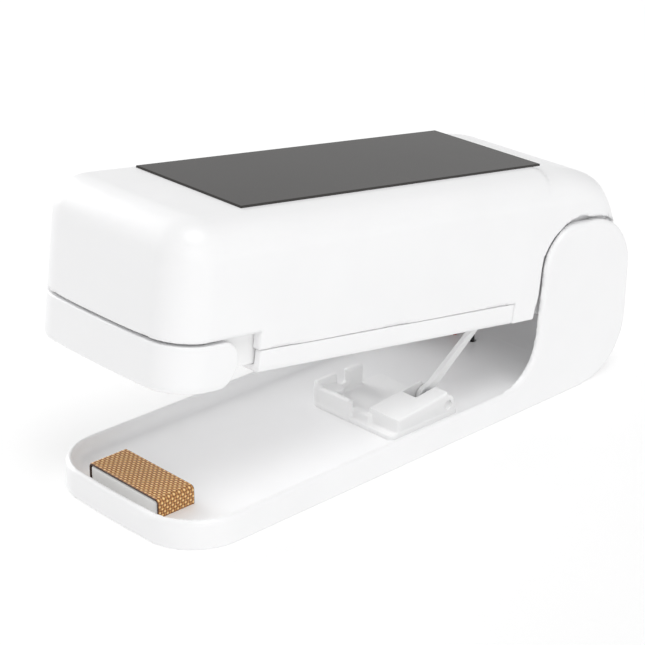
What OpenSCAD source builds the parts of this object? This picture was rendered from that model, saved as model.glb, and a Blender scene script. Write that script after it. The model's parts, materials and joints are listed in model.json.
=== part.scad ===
// Hand-held heat sealer for bags: a tray-shaped lower arm with two ears, and an
// upper jaw that is hinged between the ears and sprung open.
// Origin: middle of the lower arm's underside. -Y is the nose, +Y the hinge, +Z up.

/* [Lower arm] */
// Width over the ears
base_w = 42; // [38:0.5:46]
// Length from the nose to the back of the ears
base_len = 115; // [112:0.5:120]
// Height of the rim round the tray
rim_h = 5.5; // [5:0.1:7]
// Height of the tray floor
floor_z = 3.3; // [3.2:0.1:3.6]
// Plan radius of the two front corners
base_corner_r = 10.5; // [8:0.5:12]
// How far the arm reaches beyond the jaw's nose line
nose_reach = 1.2; // [0.8:0.1:1.5]
// Thickness of the front and side rim
rim_t = 1.6; // [1.2:0.1:1.7]
// Thickness of each ear
ear_t = 2.4; // [2:0.1:2.6]

/* [Hinge] */
// Distance of the hinge axis from the back of the ears
hinge_inset = 14; // [13.8:0.1:14.2]
// Height of the hinge axis
hinge_z = 21; // [20.5:0.1:21.5]
// Radius of the steel hinge pin
pin_r = 1.9; // [1.5:0.1:2.2]
// How far the jaw is tipped nose-up when it stands open, in degrees
open_tilt = 8.13; // [7:0.01:9]
// How far the jaw turns to close, in degrees
close_angle = 13; // [12.5:0.1:13]

/* [Upper jaw] */
// Half of the jaw's width
jaw_hw = 20.2; // [20:0.1:20.6]
// Distance from the hinge axis to the front of the nose
nose_u = 104.7; // [103:0.1:105]
// Height of the flat top above the hinge axis
top_w = 24.6; // [24:0.1:26]
// Wall thickness of the shells
wall = 1.6; // [1.4:0.1:1.8]
// Radius of the long top edges
edge_r = 6.5; // [4:0.5:7]
// Plan radius of the nose corners
nose_r = 8; // [6:0.5:9]
// Length of the dark top panel
panel_len = 76.8; // [60:0.1:80]
// Width of the dark top panel
panel_w = 28; // [20:0.1:30]

/* [Hidden] */
$fn = 48;
eps = 0.01;
run = 0.05;             // radial clearance of a running fit
gap = 0.1;              // seam between fixed pieces
ear_gap = 0.4;          // side clearance between ear and jaw

// ---- lower arm -------------------------------------------------------------
y0 = -base_len / 2;                     // front of the lower arm
hinge_y = base_len / 2 - hinge_inset;   // hinge axis
half_w = base_w / 2;
ear_in = half_w - ear_t;                // inner face of an ear
tray_hw = half_w - ear_t;               // half width of the tray
nose_y = y0 - nose_reach;               // front of the arm
skin = 1.2;                             // floor thickness
cavity_z = floor_z - skin;              // top of the space under the floor
plate_t = 1.0;                          // bottom plate
plate_hw = 17;
plate_y = [y0 + 2.2, y0 + 101.5];
plate_r = 6.5;
lead_x = 6;                             // leads run side by side under the floor
lead_r = 0.45;
lead_up_x = [-9, -4];                   // where the leads rise into the jaw
lead_rise = 4.5;                        // in front of the hinge axis
lead_z = cavity_z - lead_r - 0.05;
rear_wall_h = 11.5;
rear_c = [hinge_y + 1.6, 12.4];         // centre of the big rear arc (y, z)
rear_r = 12.4;
fillet_r = 9.7;                         // fillet between rim and ear
fillet_c = [hinge_y - 22.5, rim_h + fillet_r];
ear_foot_r = 4;                         // lower front of an ear
ear_foot = [fillet_c[0] + fillet_r + ear_foot_r, fillet_c[1] - 2];
ear_top = [hinge_y - 3.3, 27.3];        // rounded top front of an ear
ear_top_r = 8.1;
ear_back = [hinge_y + 2.2, 22.8];       // broad back of an ear
ear_back_r = 12;
base_screw_at = [for (x = [-10.3, 10.3], y = [y0 + 18, y0 + 88]) [x, y]];

// ---- heating strip ---------------------------------------------------------
core = [18.6, 8.0, 3.0];                // insulating block
core_y = y0 + rim_t + 0.1;              // its front face
ribbon_t = 0.2;
ribbon_w = 3;
cloth_t = 0.35;
strip_top = floor_z + core[2] + ribbon_t + cloth_t;
strip_mid_y = core_y + core[1] / 2;
terminal_x = core[0] / 2 + 0.7;

// ---- opener arm and its bracket --------------------------------------------
arm_pin = [y0 + 67.2, 5.7];             // pivot (y, z)
arm_pin_r = 0.8;
arm_x = [9.8, 11.0];                    // thickness of the arm in x
arm_slot = [9.7, 13.2];                 // slot for the arm and its spring
arm_rest = 33.8;                        // angle above the floor, jaw open
arm_len = 21.3;
arm_bar = 1.3;
arm_hub_r = 1.8;
arm_tip_r = 0.9;
clip_x = [-4.4, 16.8];                  // bracket's footprint
clip_y = [y0 + 51.7, y0 + 70];
clip_wall = 1.2;
clip_base = 0.9;
clip_screw_at = [[-1.8, y0 + 54.9], [12.6, y0 + 57.2]];

// ---- jaw, in its own frame: hinge axis at 0, +y to the back, +z up ---------
head_seam = 4.25;                       // lower edge of the shell over the head
head_gap = 0.6;
cover_front = -85.2;
cover_rear = -19.6;
seam_tilt = 1.14;                       // battery cover slopes down to the back
seam_mid = [(cover_front + cover_rear) / 2, 0.42];
cover_h = 4.3;
tab_z = [-2.5, -1.4];                   // hooks at the rear of the cover
jaw_bottom = -4.3;
rear_floor = 1.2;                       // thickness of the shell's floor behind the cover
narrow_hw = ear_in - ear_gap;           // jaw between the ears
rear_arc_c = [-8.5, 4];
rear_arc_r = 22.1;
drum_r = 14;                            // back of the jaw, round the hinge
front_r = 7;                            // top front edge
top_trim = 0.05;                        // the flat top lies this far under the roundings
panel_t = 1.2;
panel_sink = 0.8;
panel_front = -87.2;
lug_r = 3;

// battery frame
roof_w = [12.9, 14.1];
frame_hw = 16.2;
bay = [-82.6, -25];                     // inside of the battery bay
frame_end = 1.4;
frame_screw_at = [for (x = [-12.5, 12.5], u = [-88.5, -17.5]) [x, u]];
cheek_x = [16.9, 18.3];                 // cheeks beside the press head
cheek_u = [-96.4, -81.2];
cover_clear = -1.8;                     // lowest part of the frame over the cover's floor

// AA cells, one each way round
cell_r = 7.1;
cell_len = 49.2;
nub = [2.6, 1.1];                       // radius and height of the + button
cell_x = 7.4;
cell_w = 5.35;                          // height of the cells' axes
contact_t = 0.4;
tab_x = 6;                              // tabs that take the leads
tab_top = 16.6;
cell_gap = 0.15;
spring_wire = 0.35;

// press head
head_bottom = -5.0;
head_top = head_seam - head_gap;
head_rear = -90.0;
head_pivot = [-93.6, 0];
stub_r = 1.25;
tongue_top_r = 3.4;
tongue_low_r = 5.2;
head_floor = 1.5;
pad_u = [-100.3, -91.9];
pad_hw = 10;
closed_tilt = close_angle - open_tilt;  // nose-down tilt of the closed jaw
pad_clear = 0.25;                       // left over the strip when closed

// switch over the head's post
switch_u = -97.5;
switch_size = [6, 6, 3.5];
switch_w = 3.9;                         // underside of the switch body
button_r = 1.6;
button_low = 3.15;
post_top = 3.0;
board_t = 1.0;
board = [22, 13];
board_u = -95;
board_screw_at = [[-8.5, -91.5], [8.5, -91.5]];
boss_r = 2.2;

// ============================ helpers =======================================

// Rectangle from x = -hw to hw and y = a to b, with its front corners rounded
module nose_plan(hw, a, b, r) {
    translate([-hw, a + r]) square([2 * hw, b - a - r]);
    translate([-hw + r, a]) square([2 * (hw - r), r + eps]);
    for (s = [-1, 1]) translate([s * (hw - r), a + r]) circle(r);
}

// The same with all four corners rounded
module round_plan(hw, a, b, r) {
    translate([-hw, a + r]) square([2 * hw, b - a - 2 * r]);
    translate([-hw + r, a]) square([2 * (hw - r), b - a]);
    for (s = [-1, 1], y = [a + r, b - r]) translate([s * (hw - r), y]) circle(r);
}

// Extrudes a (y, z) profile from x = a to x = b
module along_x(a, b) {
    translate([a, 0, 0]) rotate([90, 0, 90]) linear_extrude(b - a) children();
}

// Cylinder along X from x = a to x = b, at (y, z)
module rod_x(a, b, r, at = [0, 0]) {
    translate([a, at[0], at[1]]) rotate([0, 90, 0]) cylinder(r = r, h = b - a);
}

module box(x, y, z) {
    translate([x[0], y[0], z[0]]) cube([x[1] - x[0], y[1] - y[0], z[1] - z[0]]);
}

// Round wire through a list of points, as one swept solid with mitred bends
function unit(v) = v / norm(v);
function slide_ring(ring, d, at, n) = [for (q = ring) q + d * (((at - q) * n) / (d * n))];
function rings(points, ring, i) = i == len(points) ? [] :
    let (d = unit(points[i] - points[i - 1]),
         n = i == len(points) - 1 ? d : unit(d + unit(points[i + 1] - points[i])),
         moved = slide_ring(ring, d, points[i], n))
    concat([moved], rings(points, moved, i + 1));

module wire(points, r, sides = 8) {
    d = unit(points[1] - points[0]);
    side = unit(cross(d, abs(d[2]) > 0.9 ? [1, 0, 0] : [0, 0, 1]));
    first = [for (k = [0 : sides - 1]) let (a = 360 * k / sides)
        points[0] + r * (cos(a) * side + sin(a) * cross(d, side))];
    n = len(points) - 1;
    quads = [for (i = [0 : n - 1], k = [0 : sides - 1]) let (m = (k + 1) % sides)
        [i * sides + k, i * sides + m, (i + 1) * sides + m, (i + 1) * sides + k]];
    polyhedron([for (ring = concat([first], rings(points, first, 1))) each ring],
               concat(quads, [[for (k = [sides - 1 : -1 : 0]) k],
                              [for (k = [0 : sides - 1]) n * sides + k]]), convexity = 10);
}

// Points of a coil about +Z from z = 0 up; r1 and r2 are its end radii
function coil_path(r1, r2, height, turns, per_turn = 16) =
    let (n = turns * per_turn)
    [for (i = [0 : n]) let (t = i / n, a = 360 * turns * t, r = r1 + (r2 - r1) * t)
        [r * cos(a), r * sin(a), height * t]];

// Self-tapping screw, head down at z = 0, shank up
module screw(head_r, head_h, shank_r, shank_h) {
    cylinder(r = head_r, h = head_h);
    translate([0, 0, head_h - eps]) cylinder(r = shank_r, h = shank_h + eps);
}

// The jaw's own frame, in its open position
module jaw_frame() {
    translate([0, hinge_y, hinge_z]) rotate([-open_tilt, 0, 0]) children();
}

// The battery cover's frame: seam plane at z = 0
module cover_frame() {
    translate([0, seam_mid[0], seam_mid[1]]) rotate([-seam_tilt, 0, 0]) children();
}

// ============================ lower arm =====================================

// Two circles and the two lines that are tangent to both
module belt(c1, r1, c2, r2) {
    d = c2 - c1;
    turn = acos((r1 - r2) / norm(d));
    angles = [atan2(d[1], d[0]) + turn, atan2(d[1], d[0]) - turn];
    function on(c, r, a) = c + r * [cos(a), sin(a)];
    translate(c1) circle(r1);
    translate(c2) circle(r2);
    polygon([on(c1, r1, angles[0]), on(c2, r2, angles[0]), c2,
             on(c2, r2, angles[1]), on(c1, r1, angles[1]), c1]);
}

// Outline of an ear with the foot that runs down to the resting surface
module ear_outline() {
    belt(ear_foot, ear_foot_r, ear_top, ear_top_r);
    belt(ear_top, ear_top_r, ear_back, ear_back_r);
    belt(ear_back, ear_back_r, rear_c, rear_r);
    polygon([[ear_foot[0] - ear_foot_r, 0], [ear_foot[0] - ear_foot_r, ear_foot[1]],
             ear_foot, ear_top, ear_back, rear_c, [rear_c[0], 0]]);
}

module rear_profile() {
    ear_outline();
    difference() {
        translate([fillet_c[0], 0]) square([fillet_r + eps, fillet_c[1]]);
        translate(fillet_c) circle(fillet_r);
    }
}

// Space between the ears, above the tray floor
module ear_space() {
    intersection() {
        translate([-base_len, floor_z]) square([2 * base_len, 60]);
        union() {
            translate([-base_len, 0]) square([base_len + rear_c[0], 60]);
            translate(rear_c) circle(rear_r - 1.8);
            translate([-base_len, rear_wall_h]) square([2 * base_len, 60]);
        }
    }
}

module base_arm() color("white") difference() {
    union() {
        linear_extrude(rim_h)
            nose_plan(half_w, nose_y, rear_c[0], base_corner_r);
        along_x(-half_w, half_w) rear_profile();
    }
    // tray and the space between the ears
    difference() {
        along_x(-tray_hw, tray_hw) ear_space();
        translate([0, 0, -1]) linear_extrude(60) difference() {
            translate([-half_w, y0 - 5]) square([base_w, 15]);
            nose_plan(half_w - rim_t, nose_y + rim_t, y0 + 40, base_corner_r - rim_t);
        }
    }
    // space for the leads, closed by the bottom plate
    translate([0, 0, -1]) linear_extrude(plate_t + 1)
        round_plan(plate_hw, plate_y[0], plate_y[1], plate_r);
    difference() {
        linear_extrude(cavity_z) round_plan(plate_hw - 0.8, plate_y[0] + 0.8,
                                            plate_y[1] - 0.8, plate_r - 0.8);
        for (p = base_screw_at) translate(p) cylinder(r = 2.2, h = cavity_z);
    }
    for (p = base_screw_at) translate(p) cylinder(r = 0.8, h = 2.9);
    for (p = clip_screw_at) translate(p) cylinder(r = 0.8, h = 2 * floor_z);
    // slots for the ends of the heater ribbon, holes for the leads
    for (s = [-1, 1]) translate([s * (core[0] / 2 + ribbon_t / 2), strip_mid_y, 0])
        translate([-0.3, -ribbon_w / 2 - 0.2, 0]) cube([0.6, ribbon_w + 0.4, floor_z + 1]);
    for (x = lead_up_x) translate([x, hinge_y - lead_rise, 0]) cylinder(r = 0.8, h = floor_z + 1);
    // hinge bores: blind on the near side, through on the far side
    rod_x(0, ear_in + 1.2, pin_r, [hinge_y, hinge_z]);
    rod_x(-half_w - 1, 0, pin_r, [hinge_y, hinge_z]);
    rod_x(-half_w - 1, -half_w + 0.8, pin_r + 0.9, [hinge_y, hinge_z]);
}

module base_plate() color("whitesmoke") difference() {
    linear_extrude(plate_t)
        round_plan(plate_hw - gap, plate_y[0] + gap, plate_y[1] - gap, plate_r - gap);
    for (p = base_screw_at) translate(p) {
        translate([0, 0, -1]) cylinder(r = 1.6, h = 1.7);
        cylinder(r = 0.85, h = 2);
    }
}

module base_screws() color("silver")
    for (p = base_screw_at) translate([p[0], p[1], 0.1]) screw(1.5, 0.6, 0.75, 2.0);

// ============================ heating strip =================================

module strip_core() color("ivory")
    translate([-core[0] / 2, core_y, floor_z]) cube(core);

// Flat resistance ribbon: over the block, then down through the floor at both ends
module heater_ribbon() color("dimgray") {
    x = core[0] / 2;
    y = [strip_mid_y - ribbon_w / 2, strip_mid_y + ribbon_w / 2];
    top = floor_z + core[2] + ribbon_t;
    box([-x - ribbon_t, x + ribbon_t], y, [top - ribbon_t, top]);
    for (s = [[-x - ribbon_t, -x], [x, x + ribbon_t]]) box(s, y, [cavity_z, top]);
}

// Woven cloth over the strip and down both of its ends
module cloth_strip() color("peru") {
    x = core[0] / 2 + ribbon_t;
    y = [core_y, core_y + core[1] + 0.2];
    under = strip_top - cloth_t;
    box([-x - cloth_t, x + cloth_t], y, [under, strip_top]);
    for (s = [[-x - cloth_t, -x], [x, x + cloth_t]]) box(s, y, [floor_z, strip_top]);
}

module strip_terminals() color("goldenrod")
    for (s = [-1, 1]) translate([s * terminal_x, strip_mid_y, 0])
        box([-2, 2], [-2, 2], [cavity_z - 0.8, cavity_z]);

// A lead under the floor that comes up beside the hinge axis, inside the jaw
module base_lead(side, up_x) {
    up_y = hinge_y - lead_rise;
    wire([[side * (terminal_x - 2 - lead_r), strip_mid_y, lead_z],
          [side * lead_x, strip_mid_y + 5, lead_z],
          [side * lead_x, up_y - 8, lead_z],
          [up_x, up_y, lead_z],
          [up_x, up_y, hinge_z - 1.5]], lead_r);
}

module base_lead_red() color("firebrick") base_lead(-1, lead_up_x[0]);
module base_lead_black() color("black") base_lead(1, lead_up_x[1]);

// ============================ opener arm ====================================

// Moulded bracket: a low fence open to the back, and the block that holds the arm
module arm_bracket() color("white") difference() {
    union() {
        box(clip_x, clip_y, [floor_z, floor_z + clip_base]);
        // fence: side wall with a notch, front wall, low link to the block
        difference() {
            box([clip_x[0], clip_x[0] + clip_wall], [clip_y[0], clip_y[0] + 12.3],
                [floor_z, 8.7]);
            box([clip_x[0] - 1, clip_x[0] + 3], [clip_y[0] + 5.6, clip_y[0] + 7.8],
                [6.8, 10]);
        }
        box([clip_x[0], 5.6], [clip_y[0], clip_y[0] + clip_wall], [floor_z, 7.4]);
        box([5.5, 9.2], [clip_y[0] + 0.8, clip_y[0] + 2.2], [floor_z, 5.6]);
        translate(clip_screw_at[0]) translate([0, 0, floor_z]) cylinder(r = 2, h = 3.7);
        along_x(9 - eps, clip_x[1]) {
            polygon([[y0 + 53.5, floor_z], [y0 + 53.5, 7.0], [y0 + 59.4, 7.6],
                     [arm_pin[0], arm_pin[1] + 2], [arm_pin[0] + 2, arm_pin[1]],
                     [arm_pin[0] + 2.4, floor_z]]);
            translate(arm_pin) circle(2);
        }
    }
    box(arm_slot, [y0 + 62, y0 + 72], [floor_z + clip_base - 0.5, 10]);
    rod_x(arm_slot[0] - 0.5, arm_slot[1] + 1, arm_pin_r, arm_pin);
    for (p = clip_screw_at) translate([p[0], p[1], floor_z - 1]) cylinder(r = 0.8, h = 3.6);
}

module bracket_screws() color("silver")
    for (p = clip_screw_at) translate([p[0], p[1], cavity_z - 0.9]) screw(1.5, 0.9, 0.75, 3.2);

module arm_pin() color("silver")
    rod_x(arm_slot[0] - 0.5, arm_slot[1] + 1, arm_pin_r, arm_pin);

// Torsion spring on the arm's pin; its leg bears on the bracket
module arm_spring() color("gray")
    translate([arm_x[1] + 0.4, arm_pin[0], arm_pin[1]]) rotate([0, 90, 0])
        wire(concat([[1.3, -4.6, 0]], coil_path(1.3, 1.3, 1.4, 3)), 0.22);

module opener_arm() color("white") translate([0, arm_pin[0], arm_pin[1]])
    rotate([arm_rest, 0, 0]) difference() {
        union() {
            rod_x(arm_x[0], arm_x[1], arm_hub_r);
            box(arm_x, [0, arm_len], [-arm_bar / 2, arm_bar / 2]);
            rod_x(arm_x[0], arm_x[1], arm_tip_r, [arm_len, 0]);
        }
        rod_x(arm_x[0] - 1, arm_x[1] + 1, arm_pin_r + run);
    }

// ============================ hinge =========================================

module hinge_pin() color("silver")
    rod_x(-half_w + 0.8, ear_in + 1.2, pin_r, [hinge_y, hinge_z]);

module hinge_plug() color("whitesmoke")
    rod_x(-half_w, -half_w + 0.8, pin_r + 0.9, [hinge_y, hinge_z]);

// ============================ upper jaw =====================================

// Outer form of the whole jaw, drawn in by d all round
module jaw_solid(d = 0) {
    hw = jaw_hw - d;
    top = top_w - d;
    intersection() {
        // plan
        translate([0, 0, -30]) linear_extrude(60)
            round_plan(hw, -nose_u + d, drum_r - d, nose_r - d);
        // side view
        along_x(-hw, hw) intersection() {
            union() {
                translate([-nose_u + d, -30])
                    square([nose_u + rear_arc_c[0] - d, 30 + top - front_r]);
                translate([-nose_u + front_r, -30])
                    square([nose_u + rear_arc_c[0] - front_r, 30 + top]);
                translate([-nose_u + front_r, top_w - front_r]) circle(front_r - d);
                translate(rear_arc_c) circle(rear_arc_r - d);
                circle(drum_r - d);
            }
            translate([-nose_u, -30]) square([2 * nose_u, 30 + top - top_trim]);
        }
        // front view
        translate([0, 40, 0]) rotate([90, 0, 0]) linear_extrude(nose_u + 60) intersection() {
            union() {
                translate([-hw, -30]) square([2 * hw, 30 + top_w - edge_r]);
                translate([-hw + edge_r - d, -30]) square([2 * (hw - edge_r + d), 30 + top]);
                for (s = [-1, 1]) translate([s * (jaw_hw - edge_r), top_w - edge_r])
                    circle(edge_r - d);
            }
            translate([-jaw_hw, -30]) square([2 * jaw_hw, 30 + top - top_trim]);
        }
    }
}

// Everything under the upper shell's lower edge
module below_shell() along_x(-40, 40) {
    run_out = 30;
    polygon([[-nose_u - run_out, -run_out], [-nose_u - run_out, head_seam],
             [cover_front - 0.4, head_seam],
             [cover_front - 0.4, seam_mid[1] + (seam_mid[0] - cover_front) * tan(seam_tilt)],
             [cover_rear, seam_mid[1] + (seam_mid[0] - cover_rear) * tan(seam_tilt)],
             [cover_rear, jaw_bottom], [run_out, jaw_bottom], [run_out, -run_out]]);
}

// Room that the ears need beside the jaw over its whole travel: the smallest
// polygon with equal steps of direction round the turning ear
relief_step = 15;
relief_clear = 0.3;
function turned(c, a) = [hinge_y, hinge_z] + [[cos(a), sin(a)], [-sin(a), cos(a)]]
                        * (c - [hinge_y, hinge_z]);
relief_discs = [for (a = [0, close_angle / 2, close_angle])
    each [[turned(ear_foot, a), ear_foot_r], [turned(ear_top, a), ear_top_r],
          [turned(ear_back, a), ear_back_r], [turned(rear_c, a), rear_r]]];
function reach(t) = relief_clear + max([for (d = relief_discs) d[0] * [cos(t), sin(t)] + d[1]]);
function corner(t, u) = [reach(t) * sin(u) - reach(u) * sin(t),
                         reach(u) * cos(t) - reach(t) * cos(u)] / sin(u - t);

module ear_sweep()
    for (x = [[-half_w - 2, -narrow_hw], [narrow_hw, half_w + 2]])
        along_x(x[0], x[1]) polygon([for (t = [0 : relief_step : 360 - relief_step])
                                     corner(t, t + relief_step)]);

module upper_shell() color("white") difference() {
    jaw_frame() difference() {
        union() {
            difference() {
                jaw_solid();
                below_shell();
                intersection() {
                    jaw_solid(wall);
                    union() {
                        box([-jaw_hw, jaw_hw], [-nose_u, cover_rear + wall],
                            [-30, top_w]);
                        box([-narrow_hw + wall, narrow_hw - wall],
                            [cover_rear, drum_r], [jaw_bottom + rear_floor, top_w]);
                    }
                }
            }
            // screw bosses under the top
            for (p = frame_screw_at) translate([p[0], p[1], roof_w[1]])
                cylinder(r = 2.4, h = top_w - wall - roof_w[1] + eps);
            for (p = board_screw_at) translate([p[0], p[1], switch_w + switch_size[2] + board_t])
                cylinder(r = boss_r, h = top_w - wall - switch_w - switch_size[2] - board_t + eps);
        }
        for (p = frame_screw_at) translate([p[0], p[1], 0]) cylinder(r = 1.0, h = 20.5);
        for (p = board_screw_at) translate([p[0], p[1], 0]) cylinder(r = 0.9, h = 14);
        // recess for the top panel
        box([-panel_w / 2 - gap, panel_w / 2 + gap],
            [panel_front - gap, panel_front + panel_len + gap], [top_w - panel_sink, top_w + 1]);
        // the hinge pin and the leads pass through
        rod_x(-jaw_hw - 1, jaw_hw + 1, pin_r + 0.5);
        box([-11, -2], [-9, 1], [jaw_bottom - 1, jaw_bottom + rear_floor + 1]);
    }
    ear_sweep();
}

module top_panel() color("dimgray") jaw_frame()
    box([-panel_w / 2, panel_w / 2], [panel_front, panel_front + panel_len],
        [top_w - panel_sink, top_w - panel_sink + panel_t]);

// Frame that carries the cells, the hinge lugs and the press head's pivots
module battery_frame() color("gainsboro") jaw_frame() difference() {
    union() {
        // roof
        box([-frame_hw, frame_hw], [-91, 4], roof_w);
        // walls of the battery bay
        box([-frame_hw, frame_hw], [bay[0] - frame_end, bay[0]], [-0.9, roof_w[1]]);
        box([-frame_hw, frame_hw], [bay[1], bay[1] + frame_end], [-1.2, roof_w[1]]);
        for (s = [[-frame_hw, -frame_hw + 1.2], [frame_hw - 1.2, frame_hw]])
            box(s, [bay[0] - eps, bay[1] + eps], [cover_clear, roof_w[1]]);
        // low ridge between the cells
        box([-0.2, 0.2], [bay[0] + 8, bay[1] - 8], [9.5, roof_w[1]]);
        // cheeks with the pivot stubs of the press head, and the sill between them
        for (s = [-1, 1]) {
            mirror([s > 0 ? 0 : 1, 0, 0]) {
                box(cheek_x, [cheek_u[0], head_rear + 0.8], [-2.9, 8]);
                box(cheek_x, [head_rear, cheek_u[1]], [cover_clear, 8]);
                rod_x(cheek_x[1] - eps, cheek_x[1] + 1.2, stub_r, head_pivot);
                box([frame_hw - eps, cheek_x[1]], [-84, cheek_u[1]], [-0.9, 8]);
            }
        }
        box([-cheek_x[1], cheek_x[1]], [head_rear, bay[0]], [cover_clear, cover_clear + 1.2]);
        // hinge lugs
        for (x = [[-narrow_hw + wall + 0.2, -13], [13, narrow_hw - wall - 0.2]]) {
            rod_x(x[0], x[1], lug_r);
            box(x, [-lug_r, lug_r], [0, roof_w[1]]);
        }
    }
    rod_x(-jaw_hw, jaw_hw, pin_r + run);
    for (p = frame_screw_at) translate([p[0], p[1], roof_w[0] - 1]) cylinder(r = 1.1, h = 4);
    for (p = board_screw_at) translate([p[0], p[1], roof_w[0] - 1]) cylinder(r = boss_r + 0.2, h = 4);
    // slots for the tabs of the rear contacts
    for (s = [-1, 1]) box([s * tab_x - 1.2, s * tab_x + 1.2],
                          [bay[1] - contact_t - 0.1, bay[1] + 0.1], [roof_w[0] - eps, 20]);
}

module frame_screws() color("silver") jaw_frame()
    for (p = frame_screw_at) translate([p[0], p[1], roof_w[0] - 1.2]) screw(1.9, 1.2, 0.95, 7);

// An AA cell along the bay; flip = -1 turns its + end to the front
module cell(flip) {
    rotate([-90 * flip, 0, 0]) {
        cylinder(r = cell_r, h = cell_len);
        translate([0, 0, cell_len - eps]) cylinder(r = nub[0], h = nub[1] + eps);
    }
}

// Cells stand with the + button against its contact plate
cell_back = bay[1] - contact_t - cell_gap - cell_len - nub[1];
cell_front = bay[0] + contact_t + cell_gap + cell_len + nub[1];

module cell_right() color("darkgoldenrod") jaw_frame()
    translate([cell_x, cell_back, cell_w]) cell(1);

module cell_left() color("darkgoldenrod") jaw_frame()
    translate([-cell_x, cell_front, cell_w]) cell(-1);

module battery_springs() color("silver") jaw_frame() {
    length = cell_back - bay[0] - contact_t - 2 * spring_wire - 0.1;
    translate([cell_x, bay[0] + contact_t + spring_wire + 0.05, cell_w])
        rotate([-90, 0, 0]) wire(coil_path(4.2, 2.4, length, 4), spring_wire);
    translate([-cell_x, bay[1] - contact_t - spring_wire - 0.05, cell_w])
        rotate([90, 0, 0]) wire(coil_path(4.2, 2.4, length, 4), spring_wire);
}

// One plate joins the two cells at the front
module bridge_contact() color("silver") jaw_frame()
    box([-12.5, 12.5], [bay[0], bay[0] + contact_t], [0.8, 9.6]);

module rear_contacts() color("silver") jaw_frame()
    for (s = [-1, 1]) {
        u = [bay[1] - contact_t, bay[1]];
        box([s * cell_x - 5.1, s * cell_x + 5.1], u, [0.8, 9.6]);
        box([s * tab_x - 1, s * tab_x + 1], u, [9.6 - eps, tab_top]);
    }

module circuit_board() color("darkgreen") jaw_frame() difference() {
    translate([-board[0] / 2, board_u - board[1] / 2, switch_w + switch_size[2]])
        cube([board[0], board[1], board_t]);
    for (p = board_screw_at) translate([p[0], p[1], 0]) cylinder(r = 1.0, h = 20);
}

module board_screws() color("silver") jaw_frame()
    for (p = board_screw_at) translate([p[0], p[1], switch_w + switch_size[2] - 1])
        screw(1.6, 1, 0.85, 5);

module tact_switch() color("black") jaw_frame() difference() {
    translate([-switch_size[0] / 2, switch_u - switch_size[1] / 2, switch_w])
        cube(switch_size);
    translate([0, switch_u, switch_w - 1]) cylinder(r = button_r + run, h = 3);
}

module switch_button() color("dimgray") jaw_frame()
    translate([0, switch_u, button_low]) cylinder(r = button_r, h = 1.8);

// A lead above the frame's roof: from a rear contact's tab to the board
module jaw_lead(side) jaw_frame() {
    level = 15.6;
    board_top = switch_w + switch_size[2] + board_t;
    wire([[side * tab_x, bay[1] - contact_t - lead_r - 0.03, level],
          [side * 14.8, bay[1] - 8, level], [side * 14.8, -78, level],
          [side * 4.5, -90, level], [side * 4.5, -97, board_top + 4.5],
          [side * 4.5, -98, board_top + 0.05]], lead_r);
}

module jaw_lead_red() color("firebrick") jaw_lead(1);
module jaw_lead_black() color("black") jaw_lead(-1);

// ============================ press head ====================================

// Side outline of the head, with the rounded end of its side tongues
module head_outline() {
    low_c = [head_rear - tongue_low_r, head_bottom + tongue_low_r];
    top_c = [head_rear - tongue_top_r, head_top - tongue_top_r];
    intersection() {
        union() {
            translate([-nose_u - 1, head_bottom])
                square([low_c[0] + nose_u + 1, head_top - head_bottom]);
            translate([-nose_u - 1, low_c[1]])
                square([top_c[0] + nose_u + 1, head_top - low_c[1]]);
            translate(low_c) circle(tongue_low_r);
            translate(top_c) circle(tongue_top_r);
        }
        translate([-nose_u - 1, -30]) square([nose_u, 30 + head_top]);
    }
}

// U-shaped head round the nose; its tongues pivot on the frame's stubs
module press_head() color("white") jaw_frame() difference() {
    union() {
        intersection() {
            translate([0, 0, -30]) linear_extrude(60)
                nose_plan(jaw_hw, -nose_u, -60, nose_r);
            along_x(-30, 30) head_outline();
            difference() {
                translate([0, 0, -30]) linear_extrude(60)
                    nose_plan(jaw_hw + 1, -nose_u - 1, -60, nose_r);
                // inside: open at the top, closed below up to the rear edge
                translate([0, 0, head_bottom + head_floor]) linear_extrude(60)
                    nose_plan(jaw_hw - wall, -nose_u + wall, -50, nose_r - wall);
                box([-jaw_hw + wall, jaw_hw - wall], [head_rear - 0.6, 0], [-30, 30]);
            }
        }
        // post under the switch
        translate([0, switch_u, head_bottom + head_floor - eps])
            cylinder(r = 1.8, h = post_top - head_bottom - head_floor);
    }
    // seat for the pad
    box([-pad_hw - 0.05, pad_hw + 0.05], [pad_u[0] - 0.05, pad_u[1] + 0.05],
        [head_bottom - 1, head_bottom + 0.7]);
    // blind bores for the pivot stubs
    for (s = [-1, 1]) mirror([s > 0 ? 0 : 1, 0, 0])
        rod_x(cheek_x[1], cheek_x[1] + 1.4, stub_r + run, head_pivot);
}

// Height in the jaw's frame of the plane that lies level over the strip when closed
function pad_face(u) = (strip_top + pad_clear - hinge_z - u * sin(closed_tilt))
                       / cos(closed_tilt);

module pressure_pad() color("lightgray") jaw_frame()
    along_x(-pad_hw, pad_hw)
        polygon([[pad_u[0], head_bottom + 0.7], [pad_u[0], pad_face(pad_u[0])],
                 [pad_u[1], pad_face(pad_u[1])], [pad_u[1], head_bottom + 0.7]]);

// ============================ battery cover =================================

module battery_cover() color("white") jaw_frame() cover_frame() {
    half = (cover_rear - cover_front) / 2;
    difference() {
        box([-jaw_hw, jaw_hw], [-half, half - gap], [-cover_h, -gap]);
        box([-jaw_hw + wall, jaw_hw - wall], [-half - 1, half + 1], [-cover_h + 1.2, 1]);
    }
    // tabs that hook over the shell's rear floor
    for (x = [-13, 5]) {
        box([x, x + 8], [half - 3, half - gap], [-cover_h + 1.2 - eps, tab_z[1]]);
        box([x, x + 8], [half - 3, half + 2], tab_z);
    }
}

// ============================ assembly ======================================

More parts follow.
